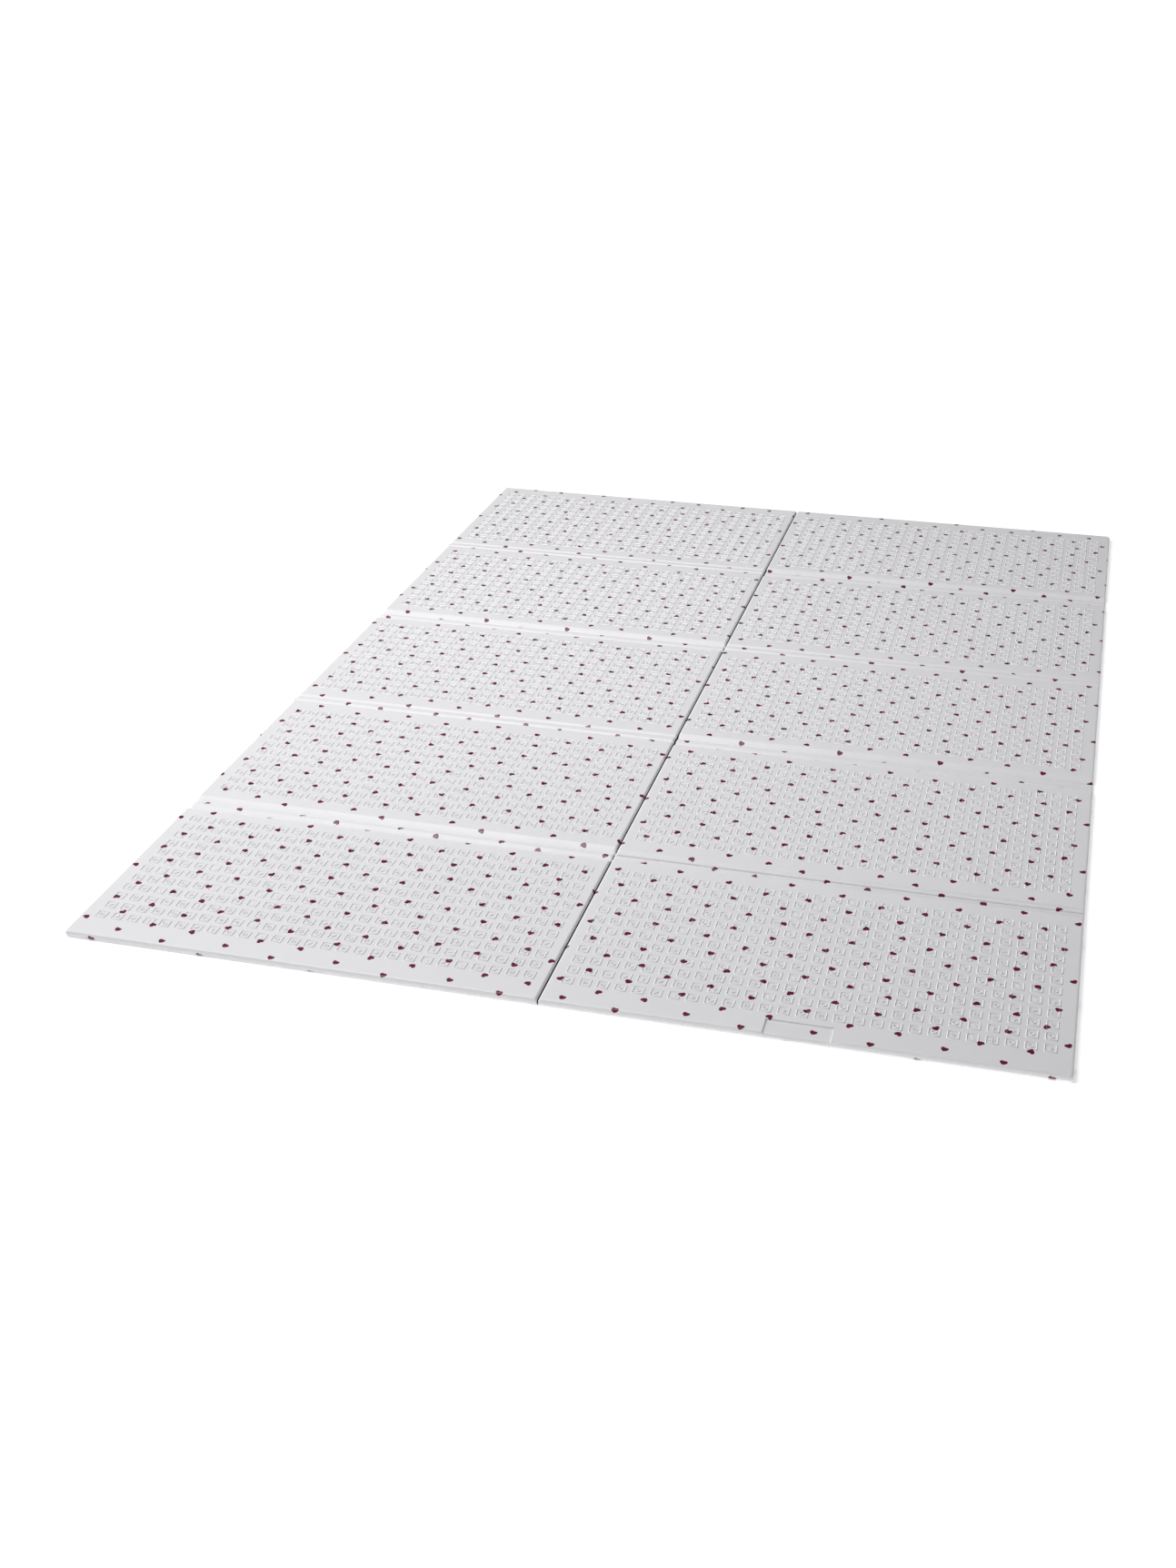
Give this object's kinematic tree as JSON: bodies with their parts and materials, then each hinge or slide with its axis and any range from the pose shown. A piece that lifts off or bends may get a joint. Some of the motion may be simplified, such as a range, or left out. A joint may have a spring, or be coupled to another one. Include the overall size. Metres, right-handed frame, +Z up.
{
  "type": "folding foam play mat",
  "caption": "Flat rectangular foam play mat for a floor, in pressed panels with creased folds between them, a centre slit, a rounded rim and a shallow pressed rectangle at one edge.",
  "frame": {"origin": "middle of the mat on its underside", "axes": "+X across the width to the right, +Y along the depth away from the edge with the pressed rectangle, +Z up out of the printed face"},
  "size_m": [1.5, 2, 0.01],
  "materials": {
    "film": "satin printed film on foam, white with small dark red hearts"
  },
  "bodies": {
    "root": {"mat_sheet": "film"}
  },
  "joints": []
}
